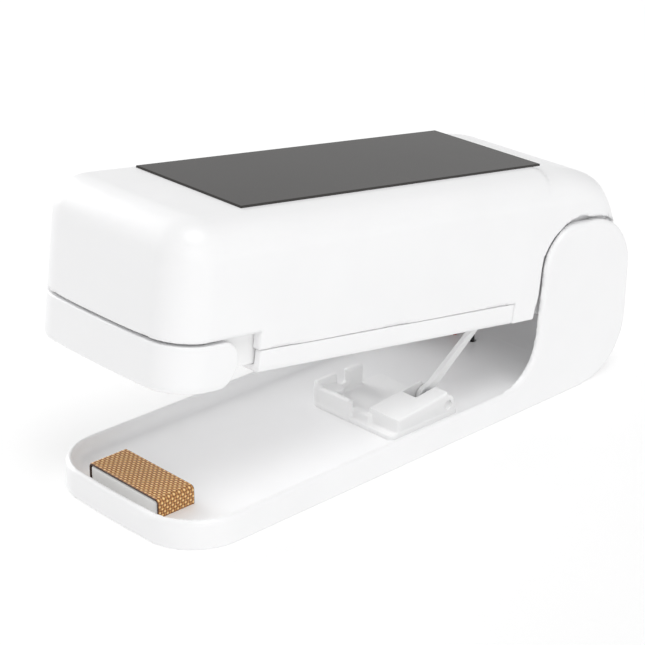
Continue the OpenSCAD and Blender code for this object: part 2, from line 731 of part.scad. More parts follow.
base_arm();
base_plate();
base_screws();
strip_core();
heater_ribbon();
cloth_strip();
strip_terminals();
arm_bracket();
bracket_screws();
arm_pin();
arm_spring();
hinge_pin();
hinge_plug();
base_lead_red();
base_lead_black();
opener_arm();
upper_shell();
top_panel();
battery_frame();
frame_screws();
cell_left();
cell_right();
battery_springs();
bridge_contact();
rear_contacts();
circuit_board();
board_screws();
tact_switch();
jaw_lead_red();
jaw_lead_black();
switch_button();
press_head();
pressure_pad();
battery_cover();
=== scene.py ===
import json
import math

import bpy
import numpy as np
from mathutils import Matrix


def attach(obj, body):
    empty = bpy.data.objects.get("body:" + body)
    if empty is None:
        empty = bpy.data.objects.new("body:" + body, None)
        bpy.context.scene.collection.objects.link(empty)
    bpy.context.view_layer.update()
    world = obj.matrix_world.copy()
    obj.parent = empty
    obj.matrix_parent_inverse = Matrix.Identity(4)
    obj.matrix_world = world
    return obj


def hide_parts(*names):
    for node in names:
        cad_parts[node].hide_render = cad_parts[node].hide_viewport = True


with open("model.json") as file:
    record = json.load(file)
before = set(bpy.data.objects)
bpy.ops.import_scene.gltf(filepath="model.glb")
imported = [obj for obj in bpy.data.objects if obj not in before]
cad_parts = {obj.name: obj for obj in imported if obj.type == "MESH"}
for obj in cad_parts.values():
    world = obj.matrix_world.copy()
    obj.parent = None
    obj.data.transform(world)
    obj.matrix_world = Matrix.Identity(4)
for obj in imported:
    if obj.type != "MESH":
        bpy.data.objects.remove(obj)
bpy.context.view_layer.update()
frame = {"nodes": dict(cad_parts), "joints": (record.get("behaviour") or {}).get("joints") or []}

import openvdb
from mathutils import Vector

# The looks of a hand-held heat sealer. Every shape is modelled in millimetres in
# one of a few local frames, as a signed distance (negative inside) that is then
# meshed, so that all edges and inner corners get true roundings. The main sizes and
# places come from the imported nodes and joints; finer ones are named values.

# ============================ frames ========================================

MM = 1000.0


class Frame:
    """A frame turned about X: its y axis is the row's +Y, tipped down by tilt."""

    def __init__(self, origin, tilt):
        self.origin = np.array(origin, float)
        self.cos, self.sin = math.cos(tilt), math.sin(tilt)

    def turn(self, p):
        """Local directions, in the row frame."""
        y, z = p[:, 1], p[:, 2]
        return np.column_stack([p[:, 0], y * self.cos + z * self.sin, z * self.cos - y * self.sin])

    def to_row(self, p):
        """Local points, in the row frame."""
        return self.turn(p) + self.origin

    def to_local(self, p):
        """Points of the row frame, in this one."""
        d = p - self.origin
        return np.column_stack([d[:, 0], d[:, 1] * self.cos - d[:, 2] * self.sin,
                                d[:, 2] * self.cos + d[:, 1] * self.sin])


def joint(name):
    return next(j for j in frame["joints"] if j["name"] == name)


def joint_place(name):
    return np.array(joint(name)["pos_m"], float) * MM


def node_points(node):
    return np.array([v.co for v in frame["nodes"][node].data.vertices], float) * MM


def extent(node, at):
    """Lowest and highest corner of a node in a frame, in millimetres."""
    p = at.to_local(node_points(node))
    return p.min(0), p.max(0)


ROW = Frame((0, 0, 0), 0)
lift_axis = joint("switch_travel")["axis"]
jaw_tilt = math.atan2(lift_axis[1], lift_axis[2])
JAW = Frame(joint_place("jaw_hinge"), jaw_tilt)
slide_axis = joint("cover_slide")["axis"]
seam_tilt = math.atan2(slide_axis[2], -slide_axis[1])
SEAM = Frame(joint_place("jaw_hinge"), seam_tilt)
arm_tip = max(node_points("opener_arm").tolist(), key=lambda p: p[2]) - joint_place("arm_pivot")
ARM = Frame(joint_place("arm_pivot"), -math.atan2(arm_tip[2], arm_tip[1]))

# ============================ signed distances ==============================


def both(a, b, r=0.0):
    """What is inside a and b, with the edge between them rounded to radius r."""
    if r == 0:
        return np.maximum(a, b)
    return np.minimum(-r, np.maximum(a, b)) + np.hypot(np.maximum(r + a, 0), np.maximum(r + b, 0))


def either(a, b, r=0.0):
    """What is inside a or b, with the inner corner between them filled to radius r."""
    return -both(-a, -b, r)


def without(a, b, r=0.0):
    """What is inside a and not in b."""
    return both(a, -b, r)


def slab(t, low, high):
    return np.abs(t - (low + high) / 2) - (high - low) / 2


def rect(x, y, low, high, r=0.0):
    """Rectangle with rounded corners."""
    qx, qy = slab(x, low[0], high[0]) + r, slab(y, low[1], high[1]) + r
    return np.minimum(np.maximum(qx, qy), 0) + np.hypot(np.maximum(qx, 0), np.maximum(qy, 0)) - r


def block(x, y, z, low, high, r=0.0):
    """Box with every edge rounded."""
    q = [slab(t, a, b) + r for t, a, b in zip((x, y, z), low, high)]
    outside = np.sqrt(sum(np.maximum(t, 0) ** 2 for t in q))
    return np.minimum(np.maximum(np.maximum(q[0], q[1]), q[2]), 0) + outside - r


def disc(x, y, centre, r):
    return np.hypot(x - centre[0], y - centre[1]) - r


def belt(x, y, c1, r1, c2, r2):
    """Two discs and the straight lines that are tangent to both."""
    across, along = c2[0] - c1[0], c2[1] - c1[1]
    length = math.hypot(across, along)
    across, along = across / length, along / length
    dx, dy = x - c1[0], y - c1[1]
    t, side = dx * across + dy * along, np.abs(dx * along - dy * across)
    b = (r1 - r2) / length
    a = math.sqrt(1 - b * b)
    k = a * t - b * side
    inside = a * side + b * t - r1
    low, high = np.hypot(side, t) - r1, np.hypot(side, t - length) - r2
    return np.where(k < 0, low, np.where(k > a * length, high, inside))


def step_up(t, start, end):
    s = np.clip((t - start) / (end - start), 0, 1)
    return s * s * (3 - 2 * s)


# ============================ meshing =======================================

NEWTON_STEPS = 4
LEAST_SLOPE = 0.25                      # squared; keeps Newton steps short where the field is flat
PROBE = 1 / 8                           # of a voxel, for gradients
BAND = 3                                # voxels on each side of the surface that the grid keeps
MARGIN = 2.5                            # voxels round the box that is meshed
SHARP = 0.6                             # cosine between neighbouring normals
PULL = 0.05                             # how strongly a point beside an edge stays where it was


def gradient(shape, p, h):
    columns = []
    for axis in range(3):
        d = np.zeros(3)
        d[axis] = h
        ahead, back = (p + d).T, (p - d).T
        columns.append((shape(*ahead) - shape(*back)) / (2 * h))
    return np.column_stack(columns)


def unit(v):
    return v / np.maximum(np.linalg.norm(v, axis=1), 1e-9)[:, None]


def crisp(p, g, quads, step):
    """Moves points beside an edge that is sharper than the grid onto that edge.

    Each goes to where its neighbours' tangent planes meet."""
    ends = np.vstack([quads[:, [i, (i + 1) % 4]] for i in range(4)])
    ends = np.vstack([ends, ends[:, ::-1]])
    i, j = ends[:, 0], ends[:, 1]
    turn = np.ones(len(p))
    np.minimum.at(turn, i, (g[i] * g[j]).sum(1))
    near = turn < SHARP
    ends = ends[near[ends[:, 0]]]
    i, j = ends[:, 0], ends[:, 1]
    planes = g[:, :, None] * g[:, None, :]
    heights = np.einsum("nij,nj->ni", planes, p)
    a, b = planes + PULL * np.eye(3), heights + PULL * p
    np.add.at(a, i, planes[j])
    np.add.at(b, i, heights[j])
    moved = np.linalg.solve(a[near], b[near][:, :, None])[:, :, 0]
    out = p.copy()
    out[near] = p[near] + np.clip(moved - p[near], -step / 2, step / 2)
    return out


def mesh_object(name, points, faces, normals=None):
    """points are in millimetres in the row frame."""
    mesh = bpy.data.meshes.new(name)
    mesh.from_pydata((points / MM).tolist(), [], [tuple(f) for f in faces])
    mesh.polygons.foreach_set("use_smooth", [True] * len(mesh.polygons))
    if normals is not None:
        mesh.normals_split_custom_set_from_vertices(normals.tolist())
    mesh.update()
    piece = bpy.data.objects.new(name, mesh)
    bpy.context.scene.collection.objects.link(piece)
    return piece


def solid(name, shape, low, high, step, at=ROW):
    """Meshes a signed distance over a box of a local frame: quads on its zero surface."""
    low, high = np.array(low, float) - MARGIN * step, np.array(high, float) + MARGIN * step
    counts = np.ceil((high - low) / step).astype(int) + 1
    axes = [low[i] + step * np.arange(counts[i]) for i in range(3)]
    field = shape(*np.meshgrid(*axes, indexing="ij"))
    grid = openvdb.FloatGrid(BAND * step)
    grid.copyFromArray(np.clip(field, -BAND * step, BAND * step).astype(np.float32))
    points, quads = grid.convertToQuads(0.0)
    p = low + np.array(points, float) * step
    start = p.copy()
    for _ in range(NEWTON_STEPS):
        g = gradient(shape, p, step * PROBE)
        p = p - (shape(*p.T) / np.maximum((g * g).sum(1), LEAST_SLOPE))[:, None] * g
        p = start + np.clip(p - start, -step, step)
    quads = np.array(quads)
    g = unit(gradient(shape, p, step * PROBE))
    p = crisp(p, g, quads, step)
    a, b, c, d = (p[quads[:, i]] for i in range(4))
    facing = (np.cross(c - a, d - b) * g[quads[:, 0]]).sum()
    if facing < 0:
        quads = quads[:, ::-1]
    return mesh_object(name, at.to_row(p), quads.tolist(), at.turn(g))


def lofted(name, rings, at=ROW):
    """Closed mesh through rings of points, capped at both ends."""
    n = len(rings[0])
    points = np.array([p for ring in rings for p in ring], float)
    faces = [tuple(range(n))[::-1]]
    for k in range(len(rings) - 1):
        for i in range(n):
            j = (i + 1) % n
            faces.append((k * n + i, k * n + j, (k + 1) * n + j, (k + 1) * n + i))
    faces.append(tuple(range((len(rings) - 1) * n, len(rings) * n)))
    return mesh_object(name, at.to_row(points), faces)


# ============================ materials =====================================


class Nodes:
    """A material's node tree with a Principled shader, built by short calls."""

    def __init__(self, name, color, roughness, metallic=0.0, specular=0.5):
        self.material = bpy.data.materials.new(name)
        self.material.use_nodes = True
        self.tree = self.material.node_tree
        self.tree.nodes.clear()
        self.shader = self.tree.nodes.new("ShaderNodeBsdfPrincipled")
        output = self.tree.nodes.new("ShaderNodeOutputMaterial")
        self.tree.links.new(self.shader.outputs["BSDF"], output.inputs["Surface"])
        self.shader.inputs["Base Color"].default_value = (*color, 1)
        self.shader.inputs["Roughness"].default_value = roughness
        self.shader.inputs["Metallic"].default_value = metallic
        self.shader.inputs["Specular IOR Level"].default_value = specular
        self.place = self.tree.nodes.new("ShaderNodeTexCoord").outputs["Object"]

    def link(self, out, to):
        self.tree.links.new(out, to)

    def stretched(self, factors):
        """Object coordinates, stretched by a factor along each axis."""
        mapping = self.tree.nodes.new("ShaderNodeMapping")
        mapping.inputs["Scale"].default_value = factors
        self.link(self.place, mapping.inputs["Vector"])
        return mapping.outputs["Vector"]

    def noise(self, per_mm, detail=3.0, place=None):
        """Noise with about this many features to a millimetre."""
        node = self.tree.nodes.new("ShaderNodeTexNoise")
        node.inputs["Scale"].default_value = per_mm * MM
        node.inputs["Detail"].default_value = detail
        self.link(place or self.place, node.inputs["Vector"])
        return node.outputs["Fac"]

    def ramp(self, value, stops):
        """stops are (position, colour or grey)."""
        node = self.tree.nodes.new("ShaderNodeValToRGB")
        ramp = node.color_ramp
        while len(ramp.elements) < len(stops):
            ramp.elements.new(1.0)
        for element, (position, colour) in zip(ramp.elements, stops):
            element.position = position
            element.color = (*colour, 1) if hasattr(colour, "__len__") else (colour, colour, colour, 1)
        self.link(value, node.inputs["Fac"])
        return node.outputs["Color"]

    def attribute(self, name):
        node = self.tree.nodes.new("ShaderNodeAttribute")
        node.attribute_name = name
        return node.outputs["Fac"]

    def bump(self, height, distance_mm, strength=1.0):
        node = self.tree.nodes.new("ShaderNodeBump")
        node.inputs["Strength"].default_value = strength
        node.inputs["Distance"].default_value = distance_mm / MM
        self.link(height, node.inputs["Height"])
        self.link(node.outputs["Normal"], self.shader.inputs["Normal"])

    def color(self, out):
        self.link(out, self.shader.inputs["Base Color"])

    def roughness(self, out):
        self.link(out, self.shader.inputs["Roughness"])


def shades(colour, spread):
    """Two shades of a colour, a little darker and a little lighter."""
    return [tuple(min(c * k, 1.0) for c in colour) for k in (1 - spread, 1 + spread)]


def moulded(name, colour, roughness, grain=0.003, spread=0.012):
    """Injection-moulded plastic: fine spark-eroded grain and faint mottling."""
    m = Nodes(name, colour, roughness)
    dark, light = shades(colour, spread)
    m.color(m.ramp(m.noise(0.05), [(0.3, dark), (0.7, light)]))
    m.roughness(m.ramp(m.noise(0.35, 4), [(0.3, roughness - 0.04), (0.7, roughness + 0.05)]))
    m.bump(m.noise(6.0, 2), grain)
    return m.material


def polished_panel():
    """Glossy dark acrylic with a slight haze and the long waves of a moulded sheet."""
    m = Nodes("dark_panel", (0.040, 0.037, 0.035), 0.12, specular=0.32)
    m.color(m.ramp(m.noise(0.04), [(0.3, (0.038, 0.035, 0.033)), (0.7, (0.042, 0.039, 0.037))]))
    m.roughness(m.ramp(m.noise(0.8, 5), [(0.35, 0.09), (0.75, 0.17)]))
    m.bump(m.noise(0.12, 1), 0.01)
    return m.material


def woven_cloth():
    """Resin-coated glass cloth, coloured by painted light: painted gold highlights on the crowns and
    painted dark brown shade in the gaps.
    """
    m = Nodes("woven_cloth", (0.5, 0.25, 0.07), 0.35)
    m.shader.inputs["Coat Weight"].default_value = 0.5
    m.shader.inputs["Coat Roughness"].default_value = 0.2
    # the colour is painted light: painted shade in the gaps up to a painted gold highlight on the
    # crowns
    m.color(m.ramp(m.attribute("crown"), [(0.0, (0.045, 0.014, 0.003)), (0.3, (0.30, 0.11, 0.022)),
                                          (0.6, (0.70, 0.34, 0.085)), (0.95, (1.0, 0.74, 0.34))]))
    m.roughness(m.ramp(m.attribute("crown"), [(0.0, 0.7), (1.0, 0.28)]))
    m.bump(m.noise(14.0, 2, m.stretched((1.0, 4.0, 1.0))), 0.008)
    return m.material


def drawn_metal(name, colour, roughness, stretch, per_mm=5.0):
    """Metal with fine draw marks along one axis."""
    m = Nodes(name, colour, roughness, metallic=1.0)
    dark, light = shades(colour, 0.12)
    marks = m.noise(per_mm, 4, m.stretched(stretch))
    m.color(m.ramp(marks, [(0.3, dark), (0.7, light)]))
    m.roughness(m.ramp(marks, [(0.3, roughness - 0.08), (0.7, roughness + 0.12)]))
    m.bump(marks, 0.004)
    return m.material


def insulation(name, colour):
    """Extruded insulation of a lead: satin, with a faint ripple."""
    m = Nodes(name, colour, 0.4)
    dark, light = shades(colour, 0.15)
    m.color(m.ramp(m.noise(1.2), [(0.3, dark), (0.7, light)]))
    m.bump(m.noise(3.0), 0.01)
    return m.material


def silicone():
    """Soft grey silicone with a matt, slightly dusty face."""
    m = Nodes("silicone", (0.42, 0.42, 0.43), 0.6)
    m.shader.inputs["Sheen Weight"].default_value = 0.2
    m.color(m.ramp(m.noise(0.8, 5), [(0.3, (0.38, 0.38, 0.39)), (0.7, (0.46, 0.46, 0.47))]))
    m.roughness(m.ramp(m.noise(2.5), [(0.3, 0.5), (0.7, 0.7)]))
    m.bump(m.noise(5.0), 0.01)
    return m.material


def cell_sleeve():
    """Shrink sleeve of a cell: dark, with faint mottling."""
    m = Nodes("cell_sleeve", (0.05, 0.06, 0.08), 0.25)
    m.color(m.ramp(m.noise(0.3, 4), [(0.3, (0.040, 0.048, 0.066)), (0.7, (0.060, 0.070, 0.092))]))
    m.roughness(m.ramp(m.noise(1.5), [(0.3, 0.2), (0.7, 0.34)]))
    m.bump(m.noise(1.0), 0.01)
    return m.material


def solder_mask():
    """Green board: satin mask over a faint copper pattern."""
    m = Nodes("solder_mask", (0.02, 0.16, 0.05), 0.3)
    tracks = m.tree.nodes.new("ShaderNodeTexBrick")
    tracks.inputs["Scale"].default_value = 0.6 * MM
    tracks.inputs["Color1"].default_value = (0.015, 0.13, 0.04, 1)
    tracks.inputs["Color2"].default_value = (0.018, 0.16, 0.05, 1)
    tracks.inputs["Mortar"].default_value = (0.03, 0.25, 0.08, 1)
    m.link(m.place, tracks.inputs["Vector"])
    m.color(tracks.outputs["Color"])
    m.bump(tracks.outputs["Fac"], 0.02)
    return m.material


WHITE = (0.92, 0.92, 0.925)
white_shell = moulded("white_shell", WHITE, 0.34)
white_inner = moulded("white_inner", (0.92, 0.92, 0.92), 0.5, grain=0.006)
insulator = moulded("insulator", (0.88, 0.875, 0.86), 0.45, grain=0.004)
black_plastic = moulded("black_plastic", (0.03, 0.03, 0.032), 0.45, spread=0.1)
dark_panel = polished_panel()
cloth_finish = woven_cloth()
along_x, along_y, all_round = (0.1, 1, 1), (1, 0.1, 1), (1, 1, 1)
ribbon_metal = drawn_metal("ribbon_metal", (0.36, 0.34, 0.31), 0.4, along_x)
terminal_brass = drawn_metal("terminal_brass", (0.78, 0.57, 0.27), 0.35, along_y)
pin_steel = drawn_metal("pin_steel", (0.62, 0.62, 0.64), 0.28, along_x)
screw_steel = drawn_metal("screw_steel", (0.55, 0.56, 0.58), 0.36, all_round)
spring_steel = drawn_metal("spring_steel", (0.50, 0.50, 0.52), 0.32, all_round, 8.0)
contact_nickel = drawn_metal("contact_nickel", (0.66, 0.63, 0.57), 0.25, along_x)

NODE_FINISH = {
    "base_plate": white_inner, "base_screws": screw_steel, "heater_ribbon": ribbon_metal,
    "strip_terminals": terminal_brass, "bracket_screws": screw_steel, "arm_pin": pin_steel,
    "arm_spring": spring_steel, "hinge_pin": pin_steel, "hinge_plug": white_inner,
    "base_lead_red": insulation("red_lead", (0.55, 0.03, 0.02)),
    "base_lead_black": insulation("black_lead", (0.02, 0.02, 0.02)),
    "battery_frame": white_inner, "frame_screws": screw_steel, "cell_left": cell_sleeve(),
    "battery_springs": spring_steel, "bridge_contact": contact_nickel,
    "rear_contacts": contact_nickel, "circuit_board": solder_mask(), "board_screws": screw_steel,
    "tact_switch": black_plastic, "switch_button": black_plastic, "pressure_pad": silicone(),
}
NODE_FINISH["cell_right"] = NODE_FINISH["cell_left"]
NODE_FINISH["jaw_lead_red"] = NODE_FINISH["base_lead_red"]
NODE_FINISH["jaw_lead_black"] = NODE_FINISH["base_lead_black"]


def finish_cad_nodes():
    for node, material in NODE_FINISH.items():
        mesh = frame["nodes"][node].data
        mesh.materials.clear()
        mesh.materials.append(material)


def dress(piece, material, body, slot, *nodes):
    """Gives a piece its material, hangs it on the body it rides on and hides the nodes it stands for.
    """
    piece.data.materials.append(material)
    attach(piece, body)
    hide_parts(*nodes)
    return piece


# ============================ lower arm =====================================

base_low, base_high = extent("base_arm", ROW)
half_w = base_high[0]
front_y = base_low[1]
hinge_y, hinge_z = JAW.origin[1], JAW.origin[2]
floor_z = extent("strip_core", ROW)[0][2]
rim_z = 5.5
tray_corner = 10.5
nose_bow = 0.9                          # both noses are bowed a little in plan
lip = 1.3                               # the tray's thin rim
ear_wall = 2.4
ear_lip = 0.95                          # rounding along the ears' outer edges
edge = 0.45                             # rounding of other outer edges
bore_edge, hole_edge = 0.1, 0.15        # of small bores, and of larger ones
hidden_edge = 0.2                       # of edges inside and below
foot_edge = 0.4                         # along the underside
tray_fillet = 2.2                       # between the floor and the rim
ear_fillet = 9.7                        # between the rim and the ear

# an ear's outline: discs at (y, z) from the hinge axis, with their radii
EAR_FOOT = ((-8.8, -7.8), 4.0)
EAR_TOP = ((-3.3, 6.3), 8.1)
EAR_BACK = ((2.2, 1.8), 12.0)
EAR_HEEL = ((1.6, -8.6), 12.4)
rear_wall_z = 11.5
rear_wall_t = 1.8
rear_fillet = 2.0                       # between the floor and the rear wall
wall_change = 10.0                      # over which the tray's rim thickens into the ear
seat_corner = 6.5                       # of the bottom plate's seat
seat_gap = 0.1
seat_ledge = 0.9
floor_t = 1.2                           # the tray floor over the wiring space
lead_hole_r = 0.85
lead_end = 0.2                          # the height of a lead's end that gives its place
pin_gap, plug_gap = 0.03, 0.06


def ear_outline(y, z):
    """y and z are measured from the hinge axis."""
    d = belt(y, z, *EAR_FOOT, *EAR_TOP)
    d = np.minimum(d, belt(y, z, *EAR_TOP, *EAR_BACK))
    return np.minimum(d, belt(y, z, *EAR_BACK, *EAR_HEEL))


def base_shape(x, y, z):
    dy, dz = y - hinge_y, z - hinge_z
    foot, heel = EAR_FOOT[0], EAR_HEEL[0]
    under_ear = rect(dy, dz, (foot[0] - EAR_FOOT[1], -2 * hinge_z), (heel[0], foot[1]))
    ear = np.minimum(ear_outline(dy, dz), under_ear)
    arm = np.maximum(z - rim_z, dy - foot[0])
    profile = either(ear, arm, ear_fillet)
    far = 4 * base_high[1]
    bowed = y - nose_bow * (x / half_w) ** 2
    plan = rect(x, bowed, (-half_w, front_y), (half_w, far), tray_corner)
    body = both(both(profile, plan, ear_lip), -z, foot_edge)
    # the tray, and the space between the ears
    wall = lip + (ear_wall - lip) * step_up(dy, foot[0] - 1, foot[0] - 1 + wall_change)
    inner = rect(x, bowed, (lip - half_w, front_y + lip), (half_w - lip, far), tray_corner - lip)
    inner = np.maximum(inner, np.abs(x) - (half_w - wall))
    behind = np.minimum(dy - heel[0], disc(dy, dz, heel, EAR_HEEL[1] - rear_wall_t))
    behind = np.minimum(behind, rear_wall_z - z)
    tray = both(inner, both(floor_z - z, behind, rear_fillet), tray_fillet)
    body = without(body, tray, edge)
    # space under the floor, holes for the leads and the pin
    low, high = extent("base_plate", ROW)
    seat = rect(x, y, low[:2] - seat_gap, high[:2] + seat_gap, seat_corner)
    body = without(body, np.maximum(seat, z - high[2]), hidden_edge)
    body = without(body, np.maximum(seat + seat_ledge, z - (floor_z - floor_t)), hidden_edge)
    for lead in ("base_lead_red", "base_lead_black"):
        at = node_points(lead)
        top = at[at[:, 2] > at[:, 2].max() - lead_end].mean(0)
        body = without(body, disc(x, y, top, lead_hole_r), hole_edge)
    low, high = extent("hinge_pin", ROW)
    pin = disc(dy, dz, (0, 0), high[2] - hinge_z + pin_gap)
    body = without(body, np.maximum(pin, x - high[0]), bore_edge)
    low, high = extent("hinge_plug", ROW)
    plug = disc(dy, dz, (0, 0), high[2] - hinge_z + plug_gap)
    return without(body, np.maximum(plug, x - high[0]), hole_edge)


def make_base():
    piece = solid("base_arm_look", base_shape, base_low, base_high, step=0.5)
    dress(piece, white_shell, "base", "white_shell", "base_arm")


# ============================ heating strip =================================

weave = 0.58                            # distance between neighbouring yarns
yarn_rise = 0.09                        # how far a yarn goes up and down
yarn_round = 0.13                       # height of a yarn's round back
strip_edge = 0.4
cloth_corner = 0.8
cloth_inset = 0.12                      # the weave's valleys lie this far inside the CAD's faces
cloth_t = 0.22
hem_w = 0.25                            # the weave dies away over this at the cloth's long edges
yarn_width = 2.1                        # narrows a yarn's round back within its space
weft_painted_highlight = 0.55                       # painted highlight on the weft's crowns, beside 1.0 for the warp: the weft is painted darker, as the light catches it less
points_per_yarn = 7


def weave_height(s, v):
    """Height of a plain weave, and its painted light from 0 to 1: a painted highlight on the crowns,
    weaker on the weft, and painted shade in the gaps.
    """
    i, j = np.floor(s / weave), np.floor(v / weave)
    a, b = s / weave - i - 0.5, v / weave - j - 0.5
    sign = np.where((i + j) % 2 == 0, 1.0, -1.0)

    def back(t):
        return yarn_round * np.sqrt(np.maximum(1 - (yarn_width * t) ** 2, 0))

    warp = yarn_rise * sign * np.cos(np.pi * a) + back(b)
    weft = -yarn_rise * sign * np.cos(np.pi * b) + back(a)
    height = np.maximum(warp, weft)
    # painted highlight: brighter on the warp than on the weft, and brighter the higher the yarn
    painted_highlight = np.where(warp > weft, 1.0, weft_painted_highlight)
    return height, painted_highlight * np.clip(height / (yarn_rise + yarn_round), 0, 1) ** 1.5


def make_cloth():
    """The cloth over the strip: up one end, across the top and down the other."""
    low, high = extent("cloth_strip", ROW)
    x_end, top, r = high[0] - cloth_inset, high[2] - cloth_inset, cloth_corner
    side, flat, bend = top - r - floor_z, 2 * (x_end - r), math.pi * r / 2
    length, width = 2 * side + flat + 2 * bend, high[1] - low[1]
    ns = int(round(length / weave * points_per_yarn))
    nv = int(round(width / weave * points_per_yarn))
    s, v = np.meshgrid(np.linspace(0, length, ns + 1), np.linspace(0, width, nv + 1), indexing="ij")
    half = length / 2
    t = np.abs(s - half)                # distance from the middle of the top
    turn = np.clip((t - flat / 2) / bend, 0, 1) * math.pi / 2
    down = np.maximum(t - flat / 2 - bend, 0)
    out = np.minimum(t, flat / 2) + r * np.sin(turn)
    height, crown = weave_height(s, v)
    hem = 1 - step_up(np.abs(v - width / 2), width / 2 - hem_w, width / 2)
    height = height * hem
    sign = np.sign(s - half)
    nx, nz = sign * np.sin(turn), np.cos(turn)
    x0, z0 = sign * out, top - r * (1 - np.cos(turn)) - down
    outer = np.stack([x0 + nx * height, low[1] + v, z0 + nz * height], -1).reshape(-1, 3)
    inner = np.stack([x0 - nx * cloth_t, low[1] + v, z0 - nz * cloth_t], -1).reshape(-1, 3)
    index = np.arange((ns + 1) * (nv + 1)).reshape(ns + 1, nv + 1)
    n = index.size
    a, b, c, d = index[:-1, :-1], index[1:, :-1], index[1:, 1:], index[:-1, 1:]
    faces = [*zip(a.ravel(), b.ravel(), c.ravel(), d.ravel())]
    faces += [(p + n, q + n, m + n, k + n) for p, q, m, k in
              zip(d.ravel(), c.ravel(), b.ravel(), a.ravel())]
    rim = [*index[:, 0], *index[-1, 1:], *index[-2::-1, -1], *index[0, -2:0:-1]]
    for k, p in enumerate(rim):
        q = rim[(k + 1) % len(rim)]
        faces.append((q, p, p + n, q + n))
    faces = [tuple(int(i) for i in f) for f in faces]
    piece = mesh_object("cloth_look", np.vstack([outer, inner]), faces)
    # painted light of the cloth: crowns lit, gaps in painted shade; the inner face takes the darkest
    # painted shade
    cloth_painted_light = (crown * hem).ravel()
    attribute = piece.data.attributes.new("crown", "FLOAT", "POINT")
    attribute.data.foreach_set("value", np.concatenate([cloth_painted_light, cloth_painted_light * 0]).astype(np.float32))
    dress(piece, cloth_finish, "base", "cloth", "cloth_strip")


def make_strip_core():
    low, high = extent("strip_core", ROW)

    def shape(x, y, z):
        return block(x, y, z, low, high, strip_edge)

    piece = solid("strip_core_look", shape, low, high, step=0.2)
    dress(piece, insulator, "base", "insulator", "strip_core")


# ============================ opener arm and bracket ========================

bracket_foot = 0.9                      # thickness of its plate
bracket_wall = 1.3
bracket_round = 0.5
bracket_foot_corner = 1.2
side_length = 12.3                      # of the wall on the far side, with a notch in it
notch_from, notch_to = 5.4, 8.0
notch_sill = 2.6
front_end_x, front_top_z = 5.6, 7.6     # the wall across the front
link_from_x, link_to_x = 5.0, 10.0      # the low bar from there to the block
link_from, link_to, link_top_z = 0.8, 2.3, 5.9
fence_post, fence_post_r, fence_post_h = (2.6, 3.2), 2.0, 3.7
cheek_x = 9.0                           # the block that holds the arm starts at this x
cheek_front = 1.8                       # and this far behind the bracket's front edge
cheek_front_z = 7.0
cheek_slope = 0.10
cheek_r = 2.0                           # round over the pin
cheek_behind_pin = 2.2
cheek_front_r, cheek_join_r = 0.7, 0.6
above_all, behind_all = 20, 40          # z and y at which shapes end outside the part
arm_slot_front = 10.3
arm_slot_gap = 0.15
arm_slot_spare = 2.2                    # room beside the arm for its spring
arm_slot_floor = 0.4
pin_recess_r = 0.95
arm_pin_hole_r = 0.86


def bracket_fence(x, y, z, low, high):
    """The low C-shaped wall with its notch and its round post."""
    side_end = (low[0] + bracket_wall, low[1] + side_length, high[2])
    side = block(x, y, z, low, side_end, bracket_round)
    notch = block(x, y, z, (low[0] - 2, low[1] + notch_from, low[2] + notch_sill),
                  (low[0] + 4, low[1] + notch_to, high[2] + 4), bracket_round)
    side = without(side, notch, bracket_round)
    front_end = (front_end_x, low[1] + bracket_wall, front_top_z)
    front = block(x, y, z, low, front_end, bracket_round)
    link = block(x, y, z, (link_from_x, low[1] + link_from, low[2]),
                 (link_to_x, low[1] + link_to, link_top_z), 0.4)
    post_axis = (low[0] + fence_post[0], low[1] + fence_post[1])
    post = both(disc(x, y, post_axis, fence_post_r), z - (low[2] + fence_post_h), 0.4)
    post = np.maximum(post, low[2] - z)
    return either(either(side, front, bracket_round), either(link, post, bracket_round), 0.4)


def bracket_cheek(x, y, z, low, high):
    """The block that holds the arm: sloping top, round over the pin, with a slot for the arm."""
    pivot = ARM.origin
    arm_low, arm_high = extent("opener_arm", ARM)
    front, rear = low[1] + cheek_front, pivot[1] + cheek_behind_pin
    slope = (z - cheek_front_z) - (y - front) * cheek_slope
    hull = np.maximum(rect(y, z, (front, low[2]), (rear, above_all), cheek_front_r), slope)
    over_pin = disc(y, z, pivot[1:], cheek_r)
    back = rect(y, z, (pivot[1] - 6, low[2]), (rear, pivot[2]), 0.3)
    cheek = either(np.maximum(hull, y - pivot[1]), np.minimum(over_pin, back), cheek_join_r)
    cheek = both(cheek, slab(x, cheek_x, high[0]), bracket_round)
    slot = rect(x, y, (arm_low[0] - arm_slot_gap, low[1] + arm_slot_front),
                (arm_high[0] + arm_slot_spare, behind_all), hidden_edge)
    return without(cheek, np.maximum(slot, low[2] + arm_slot_floor - z), 0.25)


def make_arm_bracket():
    low, high = extent("arm_bracket", ROW)

    def shape(x, y, z):
        corner = bracket_foot_corner
        plate = both(rect(x, y, low[:2], high[:2], corner), z - (low[2] + bracket_foot), 0.3)
        plate = np.maximum(plate, low[2] - z)
        fence = bracket_fence(x, y, z, low, high)
        body = either(either(plate, fence, bracket_round), bracket_cheek(x, y, z, low, high), 0.4)
        recess = disc(y, z, ARM.origin[1:], pin_recess_r)
        return without(body, np.maximum(recess, np.abs(x - high[0]) - 0.5), bore_edge)

    piece = solid("arm_bracket_look", shape, low, high, step=0.22)
    dress(piece, white_inner, "base", "white_inner", "arm_bracket")


